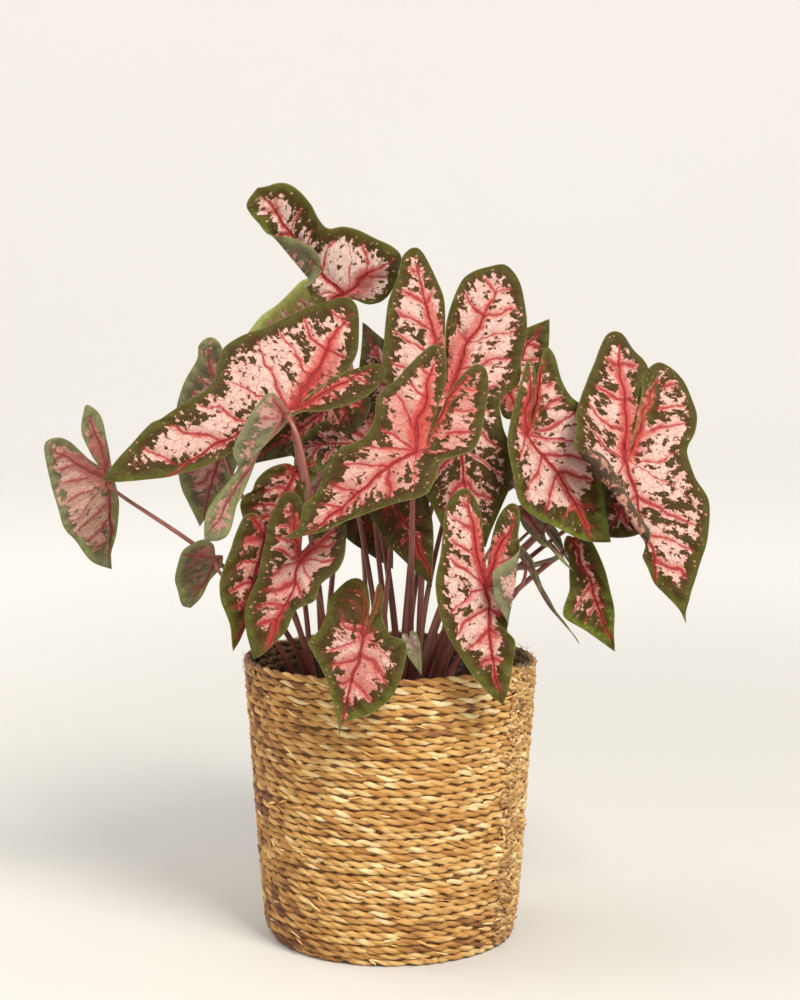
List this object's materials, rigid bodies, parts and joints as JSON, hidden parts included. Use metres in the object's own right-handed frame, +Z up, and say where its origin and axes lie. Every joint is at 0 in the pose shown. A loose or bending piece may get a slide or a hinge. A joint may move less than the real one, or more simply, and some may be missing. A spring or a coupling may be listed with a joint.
{
  "type": "potted caladium plant",
  "caption": "Caladium with pink, red-veined leaves edged and mottled in green, on slim mauve stems, growing in a foil-lined round basket of coiled twisted seagrass.",
  "frame": {"origin": "centre of the basket's flat underside", "axes": "+Z up along the basket's axis; -Y is the front, where the lowest leaves hang over the rim; +X is to the right seen from the front"},
  "size_m": [0.371, 0.2386, 0.4321],
  "materials": {
    "seagrass": "twisted dry seagrass cord, matt, straw to brown",
    "liner_foil": "thin dark glossy plastic film",
    "soil": "moist dark potting soil",
    "tuber": "rough brown tuber skin",
    "leaf": "satin leaf, pink centre, red veins, mottled green margin",
    "stem": "satin mauve to burgundy stem"
  },
  "bodies": {
    "root": {"basket": "seagrass", "basket_liner": "liner_foil", "soil": "soil", "tuber_main": "tuber", "tuber_left": "tuber", "leaf_big_left": "leaf", "stem_big_left": "stem", "leaf_top_curl": "leaf", "stem_top_curl": "stem", "leaf_upper_left_back": "leaf", "stem_upper_left_back": "stem", "leaf_left_back": "leaf", "stem_left_back": "stem", "leaf_far_left": "leaf", "stem_far_left": "stem", "leaf_small_left": "leaf", "stem_small_left": "stem", "leaf_hang_twist": "leaf", "stem_hang_twist": "stem", "leaf_tall_center": "leaf", "stem_tall_center": "stem", "leaf_front_center": "leaf", "stem_front_center": "stem", "leaf_mid_left_dark": "leaf", "stem_mid_left_dark": "stem", "leaf_right_center": "leaf", "stem_right_center": "stem", "leaf_right_big": "leaf", "stem_right_big": "stem", "leaf_right_behind": "leaf", "stem_right_behind": "stem", "leaf_lower_right": "leaf", "stem_lower_right": "stem", "leaf_front_low": "leaf", "stem_front_low": "stem", "leaf_center_small": "leaf", "stem_center_small": "stem", "leaf_left_front": "leaf", "stem_left_front": "stem", "leaf_left_front_back": "leaf", "stem_left_front_back": "stem", "leaf_narrow_edge": "leaf", "stem_narrow_edge": "stem", "leaf_tiny_rolled": "leaf", "stem_tiny_rolled": "stem", "leaf_back_low_center": "leaf", "stem_back_low_center": "stem", "leaf_center_low_dark": "leaf", "stem_center_low_dark": "stem", "leaf_right_top_dark": "leaf", "stem_right_top_dark": "stem", "leaf_right_low_fold": "leaf", "stem_right_low_fold": "stem", "leaf_back_mid": "leaf", "stem_back_mid": "stem", "leaf_back_right": "leaf", "stem_back_right": "stem", "leaf_back_left": "leaf", "stem_back_left": "stem"}
  },
  "joints": []
}
